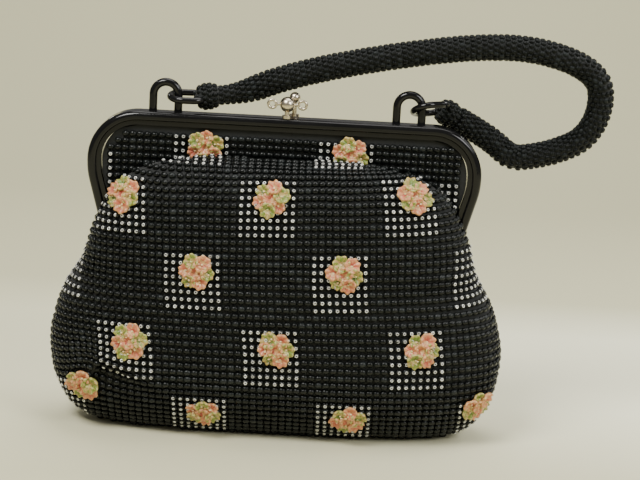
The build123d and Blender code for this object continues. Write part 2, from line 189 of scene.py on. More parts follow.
class Wire:
    """A socket of a finish, with the arithmetic of shader values."""

    def __init__(self, finish, socket):
        self.finish = finish
        self.socket = socket

    def value(self, operation, *others):
        return self.finish.node("ShaderNodeMath", {"operation": operation}, dict(enumerate(others)))

    def __add__(self, other):
        return self.value("ADD", self, other)

    def __radd__(self, other):
        return self.value("ADD", other, self)

    def __rsub__(self, other):
        return self.value("SUBTRACT", other, self)

    def __mul__(self, other):
        return self.value("MULTIPLY", self, other)

    def __gt__(self, other):
        return self.value("GREATER_THAN", self, other)


class Finish:
    """A material and the nodes that make it."""

    def __init__(self, name, **shader):
        self.material = bpy.data.materials.new(name)
        self.material.use_nodes = True
        self.tree = self.material.node_tree
        self.shader = self.tree.nodes["Principled BSDF"]
        for socket, value in shader.items():
            self.shader.inputs[socket.replace("_", " ")].default_value = value

    def node(self, kind, settings=None, sockets=None, output=0):
        made = self.tree.nodes.new(kind)
        for name, value in (settings or {}).items():
            if name == "stops":
                ramp = made.color_ramp
                while len(ramp.elements) < len(value):
                    ramp.elements.new(0.5)
                for element, (place, colour) in zip(ramp.elements, value):
                    element.position = place
                    element.color = (*colour, 1)
            else:
                setattr(made, name, value)
        for name, value in (sockets or {}).items():
            self.join(made.inputs[name], value)
        return Wire(self, made.outputs[output])

    def join(self, socket, value):
        if isinstance(value, Wire):
            self.tree.links.new(value.socket, socket)
        else:
            socket.default_value = value

    def attribute(self, name):
        return self.node("ShaderNodeAttribute", {"attribute_name": name}, output="Fac")

    def object_place(self):
        return self.node("ShaderNodeTexCoord", output="Object")

    def noise(self, scale, detail=3.0, stretch=None):
        place = self.object_place()
        if stretch:
            place = self.node("ShaderNodeMapping", {}, {"Vector": place, "Scale": stretch})
        return self.node("ShaderNodeTexNoise", {}, {"Vector": place, "Scale": scale, "Detail": detail}, "Fac")

    def ramp(self, factor, *stops):
        return self.node("ShaderNodeValToRGB", {"stops": stops}, {"Fac": factor}, "Color")

    def mix(self, factor, first, second):
        return self.node("ShaderNodeMix", {"data_type": "RGBA"}, {0: factor, 6: first, 7: second}, 2)

    def bump(self, height, strength, distance):
        return self.node(
            "ShaderNodeBump", {}, {"Height": height, "Strength": strength, "Distance": distance}, "Normal"
        )

    def set(self, **sockets):
        for name, value in sockets.items():
            self.join(self.shader.inputs[name.replace("_", " ")], value)
        return self.material


def black_bead_finish(name, shine):
    finish = Finish(name, IOR=1.5, Specular_IOR_Level=shine)
    tint = finish.attribute("tint")
    colour = finish.ramp(tint, (0.0, (0.0050, 0.0060, 0.0055)), (0.8, (0.0085, 0.0100, 0.0092)),
                         (1.0, (0.015, 0.018, 0.018)))
    return finish.set(Base_Color=colour, Roughness=0.10 + tint * tint * 0.15)


def crystal_finish():
    finish = Finish("clear_crystal_bead", IOR=1.6, Coat_Weight=0.8, Coat_Roughness=0.05)
    tint = finish.attribute("tint")
    colour = finish.ramp(tint, (0.0, (0.34, 0.34, 0.32)), (0.5, (0.60, 0.60, 0.57)),
                         (1.0, (0.86, 0.86, 0.80)))
    return finish.set(Base_Color=colour, Metallic=0.15 + tint * 0.25, Roughness=0.34 - tint * 0.18)


def floret_finish():
    finish = Finish("floret_beads", IOR=1.5, Coat_Weight=0.15, Coat_Roughness=0.12)
    rim = finish.attribute("rim")
    tint = finish.attribute("tint")
    # Paler towards the rim and on the flute ridges, darker in the cup's middle: partly the florets' own
    # colour, partly painted shade in the hollows and painted highlights on the edges
    coral = finish.ramp(rim, (0.0, (0.36, 0.045, 0.030)), (0.45, (0.52, 0.125, 0.07)),
                        (0.82, (0.58, 0.21, 0.10)), (1.0, (0.63, 0.37, 0.16)))
    green = finish.ramp(rim, (0.0, (0.045, 0.085, 0.006)), (0.45, (0.13, 0.20, 0.018)),
                        (0.80, (0.21, 0.25, 0.035)), (1.0, (0.49, 0.45, 0.14)))
    colour = finish.mix(tint > 0.5, coral, green)
    blush = finish.mix((finish.noise(420.0) > 0.53) * 0.45, colour, (0.62, 0.31, 0.13, 1))
    # Cream flecks towards the rims: painted highlights on the frilled edges
    cream = finish.mix((finish.noise(1100.0) > 0.57) * rim * 0.5, blush, (0.76, 0.61, 0.28, 1))
    return finish.set(Base_Color=cream, Roughness=0.30 + finish.noise(1500.0) * 0.2,
                      Normal=finish.bump(finish.noise(1700.0, 2.0), 0.35, 0.0004))


def pip_finish():
    finish = Finish("cream_pip_bead", IOR=1.5, Coat_Weight=0.5, Coat_Roughness=0.08)
    tint = finish.attribute("tint")
    colour = finish.ramp(tint, (0.0, (0.82, 0.70, 0.40)), (0.55, (0.80, 0.54, 0.32)),
                         (1.0, (0.56, 0.60, 0.22)))
    return finish.set(Base_Color=colour, Roughness=0.2 + tint * 0.15)


def ground_cloth_finish():
    finish = Finish("ground_cloth", IOR=1.45, Sheen_Weight=0.15, Sheen_Roughness=0.5)
    weave = finish.noise(2600.0, 2.0, (1.0, 1.0, 0.4))
    colour = finish.ramp(weave, (0.3, (0.0065, 0.0075, 0.0068)), (0.7, (0.015, 0.0165, 0.0155)))
    return finish.set(Base_Color=colour, Roughness=0.72 + weave * 0.2, Normal=finish.bump(weave, 0.5, 0.0003))


def lacquer_finish():
    finish = Finish("black_lacquer", IOR=1.52, Coat_Roughness=0.03, Specular_IOR_Level=0.22)
    worn = finish.noise(60.0, 4.0)
    colour = finish.ramp(worn, (0.35, (0.0035, 0.0035, 0.0036)), (0.75, (0.0075, 0.0075, 0.0075)))
    scratches = finish.noise(420.0, 2.0, (0.15, 1.0, 1.0))
    return finish.set(
        Base_Color=colour, Roughness=0.07 + (worn > 0.56) * 0.05 + scratches * 0.08,
        Coat_Weight=0.24 - worn * 0.2, Normal=finish.bump(finish.noise(240.0, 2.0), 0.04, 0.0004),
    )


def clasp_finish():
    finish = Finish("worn_silver", IOR=1.5)
    tarnish = finish.noise(520.0, 4.0)
    colour = finish.ramp(tarnish, (0.35, (0.70, 0.63, 0.50)), (0.62, (0.58, 0.50, 0.38)),
                         (0.8, (0.26, 0.21, 0.15)))
    return finish.set(Base_Color=colour, Metallic=1.0 - (tarnish > 0.70) * 0.25,
                      Roughness=0.16 + tarnish * 0.22, Normal=finish.bump(tarnish, 0.08, 0.0003))


def pin_finish():
    finish = Finish("dull_pin_steel", Metallic=1.0)
    scuff = finish.noise(700.0, 3.0)
    colour = finish.ramp(scuff, (0.3, (0.16, 0.155, 0.15)), (0.7, (0.34, 0.33, 0.32)))
    return finish.set(Base_Color=colour, Roughness=0.3 + scuff * 0.3)


def lining_finish():
    finish = Finish("lining_satin", IOR=1.45, Sheen_Weight=0.25, Sheen_Roughness=0.35)
    thread = finish.noise(1800.0, 2.0, (0.15, 1.0, 1.0))
    fold = finish.noise(45.0, 2.0, (1.0, 1.0, 0.25))
    colour = finish.ramp(thread, (0.3, (0.010, 0.010, 0.012)), (0.7, (0.026, 0.026, 0.030)))
    return finish.set(Base_Color=colour, Roughness=0.36 + thread * 0.2,
                      Normal=finish.bump(fold * 0.8 + thread * 0.2, 0.3, 0.0012))


def floor_finish():
    finish = Finish("pale_floor_painted_light", Roughness=0.75)
    place = finish.object_place()
    across = finish.node("ShaderNodeSeparateXYZ", {}, {0: place}, "X")
    back = finish.node("ShaderNodeSeparateXYZ", {}, {0: place}, "Y")
    cloud = finish.noise(3.0, 2.0) * 0.12
    # Painted light: the floor is darker to the left and paler to the right, as if lit from the right, with a
    # soft cloudy unevenness
    floor = finish.ramp(across * 0.9 + 0.44 + cloud, (0.2, (0.69, 0.667, 0.43)), (0.8, (0.94, 0.93, 0.70)))
    # Painted shade: in front of the bag and up the backdrop, outside the middle band, the floor takes a
    # darker flat colour
    painted_light_band = finish.ramp(back + 0.45, (0.37, (0.0, 0.0, 0.0)), (0.50, (1.0, 1.0, 1.0)),
                        (0.64, (1.0, 1.0, 1.0)), (0.72, (0.0, 0.0, 0.0)))
    return finish.set(Base_Color=finish.mix(painted_light_band, (0.61, 0.59, 0.38, 1), floor))


def smooth_step(share):
    """Ease from 0 to 1, with the share held between them."""
    share = min(max(share, 0), 1)
    return share * share * (3 - 2 * share)


def bell(distance, reach):
    """A soft bump: 1 in its middle, and nearly nothing at twice its reach."""
    return math.exp(-(distance / reach) ** 2)


def runs_along(line):
    """The distance of each point along a line."""
    return np.concatenate([[0], np.cumsum(np.linalg.norm(np.diff(line, axis=0), axis=1))])


def eased(values):
    """Slopes that carry a smooth line through a column of values without overshoot."""
    steps = np.diff(values)
    slopes = np.zeros(len(values))
    for i in range(1, len(values) - 1):
        before, after = steps[i - 1], steps[i]
        slopes[i] = 0 if before * after <= 0 else 2 * before * after / (before + after)
    slopes[0], slopes[-1] = steps[0], steps[-1]
    return slopes


class ClothForm:
    """The smooth outside of the cloth, from the bottom edge over the belly to the top of the ledge."""

    def __init__(self):
        table = np.array(CLOTH_PROFILE)
        table[:, 0] = table[:, 0] + CLOTH_FLOOR * np.clip(1 - table[:, 0] / CLOTH_FLOOR_FADE, 0, 1)
        table[:, 1] = table[:, 1] * HALF_WIDTH - CLOTH_INSET
        table[:, 2] = table[:, 2] * HALF_DEPTH - CLOTH_INSET
        self.table = table
        self.slopes = np.array([eased(column) for column in table.T]).T
        self.dense = np.linspace(0, len(table) - 1, PROFILE_STEPS)
        lines = np.array([self.at(t) for t in self.dense])
        runs = np.hypot(np.diff(lines[:, 0]), np.diff(lines[:, 2]))
        self.run = np.concatenate([[0], np.cumsum(runs)])
        self.levels = lines[:, 0]

    def at(self, t):
        """Level, half-width and half-depth at a place along the profile."""
        i = int(min(max(t, 0), len(self.table) - 1.000001))
        u = t - i
        a, b = self.table[i], self.table[i + 1]
        return ((1 + 2 * u) * (1 - u) ** 2 * a + u * u * (3 - 2 * u) * b
                + u * (1 - u) ** 2 * self.slopes[i] - u * u * (1 - u) * self.slopes[i + 1])

    def along(self, run):
        """The place whose distance along the front profile is run."""
        return float(np.interp(run, self.run, self.dense))

    def run_at_level(self, level):
        return float(np.interp(level, self.levels, self.run))

    def point(self, t, angle, side):
        """A point of the skin: side is -1 on the front and 1 on the rear."""
        level, half_width, half_depth = self.at(t)
        c, s = math.cos(angle), max(math.sin(angle), 0)
        ease = smooth_step((level - SIDE_GAP_FROM) / (SIDE_GAP_TO - SIDE_GAP_FROM))
        near = min(SIDE_GAP * ease, half_depth * SIDE_GAP_SHARE)
        x = half_width * math.copysign(abs(c) ** SECTION_ROUNDNESS, c)
        round_share = s ** SECTION_ROUNDNESS
        y = near + (half_depth - near) * round_share + self.slump(x, level, side) * round_share
        return np.array((x, side * y, level))

    def slump(self, x, level, side):
        """How far the gathers, swells and fold of the hanging cloth stand out."""
        gathers = math.cos(x * GATHER_WAVES + 0.6 * side) * bell(level - GATHER_LEVEL, GATHER_REACH)
        gathers *= GATHER_DEPTH
        swell = math.sin(x * SWELL_WAVES_ACROSS + 1.3 * side) * math.sin(level * SWELL_WAVES_UP + 0.4)
        swell *= SWELL_DEPTH
        if side > 0:
            return gathers + swell
        above = level - float(np.interp(x, FOLD_X, FOLD_LEVELS))
        along_fold = bell(x - FOLD_MIDDLE, FOLD_REACH)
        fold = -FOLD_DENT * bell(above, FOLD_DENT_ABOVE if above > 0 else FOLD_DENT_BELOW)
        if above > 0:
            fold += FOLD_LIP * (1 - bell(above, FOLD_LIP_RISE)) * bell(above, FOLD_LIP_REACH)
        return gathers + (1 - along_fold) * swell + along_fold * fold

    def facing(self, t, angle, side):
        """The outward direction and the direction along the row."""
        swing, step, margin, top = 0.004, 0.01, 0.02, len(self.table) - 1.001
        angle = min(max(angle, margin), math.pi - margin)
        across = self.point(t, angle - swing, side) - self.point(t, angle + swing, side)
        up = self.point(min(t + step, top), angle, side) - self.point(max(t - step, 0), angle, side)
        normal = np.cross(across, up) * -side
        return normal / np.linalg.norm(normal), across / np.linalg.norm(across)

    def section(self, t, side, count=240):
        """Angles, distances and points round one half of a level section, from its left side to its right."""
        angles = np.linspace(math.pi, 0, count)
        points = np.array([self.point(t, a, side) for a in angles])
        return angles, runs_along(points), points


def in_square(column, row):
    """Whether a bead of the pattern is a crystal."""
    inside = all(1 <= (i + CELL // 2) % CELL <= CELL - 2 for i in (column, row))
    cells = (column + CELL // 2) // CELL + (row + CELL // 2) // CELL
    return inside and cells % 2 == 1


class PatternRow:
    """A row of the bead pattern on one half of the cloth; step counts rows up from the pattern's level."""

    def __init__(self, form, side, step):
        self.form, self.side = form, side
        self.run = form.run_at_level(PATTERN_LEVEL) + step * (HIGH_ROW_PITCH if step > 0 else ROW_PITCH)
        inside = min(max(self.run, 0), form.run[-1])
        t = form.along(inside)
        level = form.at(t)[0]
        self.tilt = float(np.interp(level, PATTERN_LEVELS, PATTERN_TILTS))
        self.angles, self.distance, points = form.section(t, side)
        middle_x = np.interp(level, PATTERN_LEVELS, PATTERN_MIDDLES)
        self.middle = float(np.interp(middle_x, points[:, 0], self.distance))

    def columns(self):
        first = math.ceil((SIDE_MARGIN - self.middle) / COLUMN_PITCH - 0.5)
        last = math.floor((self.distance[-1] - SIDE_MARGIN - self.middle) / COLUMN_PITCH - 0.5)
        return range(first, last + 1)

    def place(self, step):
        """The spot, its outward direction and the row's direction, or nothing past the cloth's edge."""
        across = step * COLUMN_PITCH
        run = self.run + self.tilt * across
        if not FOOT_MARGIN < run < self.form.run[-1] - LEDGE_MARGIN:
            return None
        angle = float(np.interp(self.middle + across, self.distance, self.angles))
        if self.side < 0:
            x, _, level = self.form.point(self.form.along(run), angle, self.side)
            pull = bell(x - FOLD_PULL_X, FOLD_PULL_ACROSS) * bell(level - FOLD_PULL_LEVEL, FOLD_PULL_UP)
            run += FOLD_PULL * pull
        t = self.form.along(run)
        return (self.form.point(t, angle, self.side), *self.form.facing(t, angle, self.side))


def cloth_places(form, side):
    """Bead places on one half of the cloth: black beads, and where the crystals sit."""
    beads, crystals = [], []
    for row in PATTERN_ROWS:
        line = PatternRow(form, side, row + 0.5)
        for column in line.columns():
            place = line.place(column + 0.5)
            if place:
                (crystals if in_square(column, row) else beads).append(place)
    return beads, crystals


def sheet_reach(level):
    """Half the width of the flat cloth, which has round upper corners and tapers downwards."""
    corner = min(max(0, level - (SHEET_TOP - SHEET_CORNER)) / SHEET_CORNER, 1)
    rounding = SHEET_CORNER * (1 - math.sqrt(1 - corner * corner))
    return SHEET_HALF_WIDTH - rounding - max(0, SHEET_TAPER_LEVEL - level) * SHEET_TAPER


def in_cut_off_square(x, level):
    """Whether a bead lies in a square that the frame cuts off."""
    low, high = CUT_OFF_LEFT_LEVELS if x < 0 else CUT_OFF_RIGHT_LEVELS
    return (x < CUT_OFF_LEFT or x > CUT_OFF_RIGHT) and low < level < high


def sheet_places(form, side):
    """Bead places on the flat cloth in the frame's opening, where the puff leaves it in sight."""
    beads, crystals = [], []
    facing = np.array((0, side, 0))
    for row in SHEET_ROWS:
        level = SHEET_PATTERN_LEVEL + (row + 0.5) * HIGH_ROW_PITCH
        if not SHEET_BEADS_FROM < level < SHEET_TOP - SHEET_TOP_MARGIN:
            continue
        inner = form.at(float(np.interp(level, form.levels, form.dense)))[1] if level < form.levels[-1] else 0
        reach = sheet_reach(level) - SHEET_SIDE_MARGIN
        for column in SHEET_COLUMNS:
            x = SHEET_PATTERN_X + (column + 0.5) * COLUMN_PITCH
            if abs(x) > reach or abs(x) < inner - SHEET_TUCK:
                continue
            place = (np.array((x, side * SHEET_OUT, level)), facing, ACROSS)
            crystal = in_cut_off_square(x, level) or in_square(column, row + 2 * CELL)
            (crystals if crystal else beads).append(place)
    return beads, crystals


def base_places(form):
    """Bead places under the bag."""
    level, half_width, half_depth = form.at(0)
    down = np.array((0, 0, -1.0))
    places = []
    rows = int(half_depth / HIGH_ROW_PITCH) + 1
    for row in range(-rows, rows + 1):
        y = row * HIGH_ROW_PITCH
        for column in BASE_COLUMNS:
            x = (column + 0.5) * COLUMN_PITCH
            if (abs(x) / half_width) ** BASE_ROUNDNESS + (abs(y) / half_depth) ** BASE_ROUNDNESS < BASE_FILL:
                places.append((np.array((x, y, level)), down, ACROSS))
    return places


def lifted(places, height):
    """The same places, moved outwards."""
    return [(spot + normal * height, normal, along) for spot, normal, along in places]


def add_object(name, mesh):
    piece = bpy.data.objects.new(name, mesh)
    bpy.context.scene.collection.objects.link(piece)
    return piece


def mesh_of(name, points, faces, finish=None):
    mesh = bpy.data.meshes.new(name)
    mesh.from_pydata([tuple(map(float, p)) for p in points], [], faces)
    mesh.polygons.foreach_set("use_smooth", [True] * len(mesh.polygons))
    if finish:
        mesh.materials.append(finish)
    mesh.update()
    return mesh


def add_mesh(name, points, faces, finish=None):
    return add_object(name, mesh_of(name, points, faces, finish))


def grid_faces(rows, columns, flip=False):
    """Faces between rows of points."""
    faces = []
    for i in range(rows - 1):
        for j in range(columns - 1):
            a = i * columns + j
            face = (a, a + 1, a + columns + 1, a + columns)
            faces.append(face[::-1] if flip else face)
    return faces


def ring_faces(rings, around, first=0, flip=False):
    """Faces between closed rings of points."""
    faces = []
    for ring in range(rings - 1):
        for i in range(around):
            a, b = (first + ring * around + k for k in (i, (i + 1) % around))
            faces.append((a, a + around, b + around, b) if flip else (a, b, b + around, a + around))
    return faces


def disc_faces(rings, around):
    """Faces of closed rings round a middle point."""
    fan = [(0, 1 + i, 1 + (i + 1) % around) for i in range(around)]
    return fan + ring_faces(rings, around, 1, True)


def bead_shape():
    """A small barrel bead lying along its row."""
    around = 6
    stations = ((-1.0, 0.42), (-0.52, 0.96), (0.52, 0.96), (1.0, 0.42))
    points = []
    for along, reach in stations:
        for i in range(around):
            turn = 2 * math.pi * (i + 0.5) / around
            shares = (along, reach * math.cos(turn), reach * math.sin(turn))
            points.append([share * half for share, half in zip(shares, BEAD_HALF)])
    faces = ring_faces(len(stations), around)
    faces.append(tuple(range(around))[::-1])
    faces.append(tuple(range(len(points) - around, len(points))))
    return add_mesh("bead_shape", points, faces)


def ring_shape():
    """The bright ring of a crystal, its hole to the front."""
    points, faces = [], []
    around, section = 9, 5
    for i in range(around):
        turn = 2 * math.pi * i / around
        for j in range(section):
            roll = 2 * math.pi * j / section
            reach = RING_RADIUS + RING_WIRE * math.cos(roll)
            points.append((reach * math.cos(turn), reach * math.sin(turn), RING_WIRE * math.sin(roll)))
            here, there, beside = i * section, (i + 1) % around * section, (j + 1) % section
            faces.append((here + j, there + j, there + beside, here + beside))
    return add_mesh("ring_shape", points, faces)


def floret_shape():
    """A little fluted cup with a scalloped edge."""
    around, flutes, scallop, ripple = 36, 7, 0.06, 0.00048
    shares = (0.16, 0.45, 0.75, 1.0, 1.04)
    heights = (0.0007, 0.0011, 0.0017, 0.0020, 0.0008)
    points, rims = [(0, 0, 0.0005)], [0.0]
    for share, height in zip(shares, heights):
        for i in range(around):
            turn = 2 * math.pi * i / around
            flute = math.cos(flutes * turn)
            reach = FLORET_RADIUS * share * (1 + scallop * flute * share)
            points.append((reach * math.cos(turn), reach * math.sin(turn), height + ripple * flute * share))
            # The rim share is a little higher on the flute ridges: painted highlights on the ridges and
            # painted shade in the grooves
            rims.append(min(share, 1.0) * (0.93 + 0.07 * flute))
    faces = disc_faces(len(shares), around)
    faces.append(tuple(range(len(points) - around, len(points)))[::-1])
    mesh = mesh_of("floret_shape", points, faces)
    mesh.attributes.new("rim", "FLOAT", "POINT").data.foreach_set("value", rims)
    return add_object("floret_shape", mesh)


def sewing_tree():
    """Nodes that sew one shape on at every place, facing outwards, with a small wobble."""
    tree = bpy.data.node_groups.new("sewn_on", "GeometryNodeTree")
    ids = {}
    for name, kind in (("Places", "Geometry"), ("Shape", "Object"), ("Finish", "Material"),
                       ("Wobble", "Float"), ("Seed", "Int")):
        socket = tree.interface.new_socket(name, in_out="INPUT", socket_type="NodeSocket" + kind)
        ids[name] = socket.identifier
    tree.interface.new_socket("Sewn", in_out="OUTPUT", socket_type="NodeSocketGeometry")

    def node(kind, **settings):
        made = tree.nodes.new(kind)
        for name, value in settings.items():
            setattr(made, name, value)
        return made

    def named(name, kind):
        made = node("GeometryNodeInputNamedAttribute", data_type=kind)
        made.inputs["Name"].default_value = name
        return next(s for s in made.outputs if s.enabled)

    source, result = node("NodeGroupInput"), node("NodeGroupOutput")
    shape = node("GeometryNodeObjectInfo")
    tree.links.new(source.outputs["Shape"], shape.inputs["Object"])
    turn = node("FunctionNodeAxesToRotation", primary_axis="Z", secondary_axis="X")
    tree.links.new(named("facing", "FLOAT_VECTOR"), turn.inputs[0])
    tree.links.new(named("along", "FLOAT_VECTOR"), turn.inputs[1])
    chance = node("FunctionNodeRandomValue", data_type="FLOAT_VECTOR")
    low, high = [s for s in chance.inputs if s.enabled and s.type == "VECTOR"]
    low.default_value, high.default_value = (-1, -1, -1), (1, 1, 1)
    tree.links.new(source.outputs["Seed"], chance.inputs["Seed"])
    scaled = node("ShaderNodeVectorMath", operation="SCALE")
    tree.links.new(next(s for s in chance.outputs if s.enabled), scaled.inputs[0])
    tree.links.new(source.outputs["Wobble"], scaled.inputs["Scale"])
    wobble = node("FunctionNodeEulerToRotation")
    tree.links.new(scaled.outputs[0], wobble.inputs[0])
    turned = node("FunctionNodeRotateRotation", rotation_space="LOCAL")
    tree.links.new(turn.outputs[0], turned.inputs[0])
    tree.links.new(wobble.outputs[0], turned.inputs[1])
    sewn = node("GeometryNodeInstanceOnPoints")
    tree.links.new(source.outputs["Places"], sewn.inputs["Points"])
    tree.links.new(shape.outputs["Geometry"], sewn.inputs["Instance"])
    tree.links.new(turned.outputs[0], sewn.inputs["Rotation"])
    tree.links.new(named("size", "FLOAT"), sewn.inputs["Scale"])
    real = node("GeometryNodeRealizeInstances")
    tree.links.new(sewn.outputs[0], real.inputs[0])
    painted = node("GeometryNodeSetMaterial")
    tree.links.new(real.outputs[0], painted.inputs["Geometry"])
    tree.links.new(source.outputs["Finish"], painted.inputs["Material"])
    tree.links.new(painted.outputs[0], result.inputs[0])
    return tree, ids


def sew(name, places, shape, finish, wobble, seed, sizes=None, tints=None, scale=1.0):
    """One plain mesh of a shape sewn on at every place."""
    chance = random.Random(seed)
    count = len(places)
    spots = mesh_of(name + "_spots", [spot for spot, _, _ in places], [])
    columns = {
        "facing": ("FLOAT_VECTOR", "vector", [n for _, n, _ in places]),
        "along": ("FLOAT_VECTOR", "vector", [a for _, _, a in places]),
        "size": ("FLOAT", "value", sizes or [scale * chance.uniform(0.95, 1.04) for _ in range(count)]),
        "tint": ("FLOAT", "value", tints or [chance.random() for _ in range(count)]),
    }
    for label, (kind, field, values) in columns.items():
        flat = np.array(values, dtype=np.float32).ravel()
        spots.attributes.new(label, kind, "POINT").data.foreach_set(field, flat)
    holder = add_object(name + "_spots", spots)
    modifier = holder.modifiers.new("sewn", "NODES")
    modifier.node_group = SEWING
    for label, value in (("Shape", shape), ("Finish", finish), ("Wobble", wobble), ("Seed", seed)):
        modifier[SEWING_IDS[label]] = value
    graph = bpy.context.evaluated_depsgraph_get()
    mesh = bpy.data.meshes.new_from_object(holder.evaluated_get(graph))
    bpy.data.objects.remove(holder)
    for label in ("facing", "along", "size"):
        if label in mesh.attributes:
            mesh.attributes.remove(mesh.attributes[label])
    return add_object(name, mesh)


def cloth_half(name, form, side, finish):
    """The ground cloth of one half, side to side and from the bottom edge to the ledge."""
    rows, columns = 150, 140
    runs = np.linspace(0, form.run[-1], rows)
    angles = np.linspace(math.pi, 0, columns)
    points = [form.point(form.along(run), angle, side) for run in runs for angle in angles]
    return add_mesh(name, points, grid_faces(rows, columns, side > 0), finish)


def cloth_base(form, finish):
    """The ground cloth under the bag."""
    around, rings = 96, 7
    points = [(0, 0, CLOTH_FLOOR)]
    for ring in range(1, rings + 1):
        share = ring / rings
        for i in range(around):
            turn = 2 * math.pi * i / around
            x, y, _ = form.point(0, turn if turn <= math.pi else 2 * math.pi - turn, -1)
            points.append((x * share, (y if turn <= math.pi else -y) * share, CLOTH_FLOOR))
    return add_mesh("cloth_base", points, disc_faces(rings, around), finish)


def cloth_sheet(name, side, behind, finish, inwards=False):
    """A flat cloth that runs up into the frame."""
    rows, columns = 24, 60
    y = side * (SHEET_OUT - SHEET_CLOTH_BEHIND - behind)
    points = []
    for level in np.linspace(SHEET_FOOT, SHEET_TOP, rows):
        reach = sheet_reach(level)
        for share in np.linspace(-1, 1, columns):
            points.append((share * reach, y, level))
    return add_mesh(name, points, grid_faces(rows, columns, (side > 0) != inwards), finish)


def front_lining(form, finish):
    """The lining behind the puffed front cloth, from the pouch's rim to the ledge."""
    rows, columns = 40, 90
    points = []
    for run in np.linspace(form.run_at_level(LINING_RIM), form.run[-1], rows):
        t = form.along(run)
        for angle in np.linspace(math.pi, 0, columns):
            points.append(form.point(t, angle, -1) - form.facing(t, angle, -1)[0] * LINING_BEHIND)
    return add_mesh("lining_front", points, grid_faces(rows, columns, True), finish)


def rosette_places(form, side):
    """Floret places, with their sizes and tints, and pip places, for every rosette on one face of the bag."""
    chance = random.Random(40 + side)
    florets, sizes, tints, pips = [], [], [], []

    def rosette(spot, normal, along):
        over = np.cross(normal, along)
        start = math.radians(chance.uniform(-25, 25) + 120)
        centre = spot + normal * ROSETTE_LIFT
        florets.append((centre + normal * MIDDLE_LIFT, normal, along))
        sizes.append(chance.uniform(0.98, 1.06))
        tints.append(0.0)
        for i in range(PETALS):
            turn = start - 2 * math.pi * i / PETALS
            out = along * math.cos(turn) + over * math.sin(turn)
            reach = FLORET_PITCH * chance.uniform(0.92, 1.08)
            lean = out * chance.uniform(0.15, 0.42) + np.cross(normal, out) * chance.uniform(-0.2, 0.2)
            spot_out = centre + out * reach + normal * chance.uniform(-0.0003, 0.0004)
            florets.append((spot_out, normal + lean, over * chance.choice((1, -1))))
            sizes.append(chance.uniform(0.86, 1.12))
            tints.append(1.0 if i % 2 == 0 else 0.0)
            own = (reach / FLORET_PITCH, 0.05, PIP_LIFT)
            stray = (chance.uniform(0.45, 1.3), 0.5, STRAY_PIP_LIFT)
            for share, spread, rise in (own, stray):
                bent = turn + chance.uniform(-spread, spread)
                outward = along * math.cos(bent) + over * math.sin(bent)
                pips.append((centre + outward * FLORET_PITCH * share + normal * rise, normal, along))

    for cell, columns in ROSETTE_CELLS:
        line = PatternRow(form, side, cell * CELL + ROSETTE_ROW)
        for column in columns:
            place = line.place(column * CELL + ROSETTE_COLUMN)
            if place:
                rosette(*place)
    for column in SHEET_ROSETTE_CELLS:
        x = SHEET_PATTERN_X + (column * CELL + ROSETTE_COLUMN) * COLUMN_PITCH
        rosette(np.array((x, side * SHEET_OUT, SHEET_ROSETTE_LEVEL)), np.array((0, side, 0)), ACROSS)
    return florets, sizes, tints, pips


def rope_share(run):
    """The rope's thickness as a share: it narrows towards its left end."""
    return ROPE_NECK + (1 - ROPE_NECK) * smooth_step(run / ROPE_NECK_LENGTH)


def rope_curve():
    """The rope's core, one smooth line through its route."""
    data = bpy.data.curves.new("handle_cord", "CURVE")
    data.dimensions = "3D"
    spline = data.splines.new("NURBS")
    spline.points.add(len(ROPE_ROUTE) - 1)
    for point, place, run in zip(spline.points, ROPE_ROUTE, runs_along(ROPE_ROUTE)):
        point.co = (*place, 1)
        point.radius = rope_share(run)
    spline.order_u = 3
    spline.use_endpoint_u = True
    data.resolution_u = 10
    return add_object("handle_cord", data)


def rope_line(rope):
    """Points of the rope's line at even steps, with a frame that doesn't twist."""
    graph = bpy.context.evaluated_depsgraph_get()
    mesh = bpy.data.meshes.new_from_object(rope.evaluated_get(graph))
    line = np.array([v.co[:] for v in mesh.vertices])
    bpy.data.meshes.remove(mesh)
    runs = runs_along(line)
    steps = np.linspace(0, runs[-1], int(runs[-1] / ROPE_RING_PITCH) + 1)
    points = np.array([[np.interp(s, runs, line[:, k]) for k in range(3)] for s in steps])
    ahead = np.gradient(points, axis=0)
    ahead /= np.linalg.norm(ahead, axis=1)[:, None]
    out = np.cross(ahead[0], (0, 1.0, 0))
    outs = []
    for direction in ahead:
        out = out - direction * np.dot(out, direction)
        out = out / np.linalg.norm(out)
        outs.append(out)
    return points, ahead, np.array(outs)


def rope_places(points, ahead, outs):
    """Beads laid round the rope in staggered rings."""
    places = []
    for ring, (point, direction, out) in enumerate(zip(points, ahead, outs)):
        over = np.cross(direction, out)
        share = rope_share(ring * ROPE_RING_PITCH)
        count = round(ROPE_BEADS_ROUND * share)
        for i in range(count):
            turn = 2 * math.pi * (i + 0.5 * (ring % 2)) / count
            facing = out * math.cos(turn) + over * math.sin(turn)
            places.append((point + facing * ROPE_CORE * share, facing, direction))
    return places


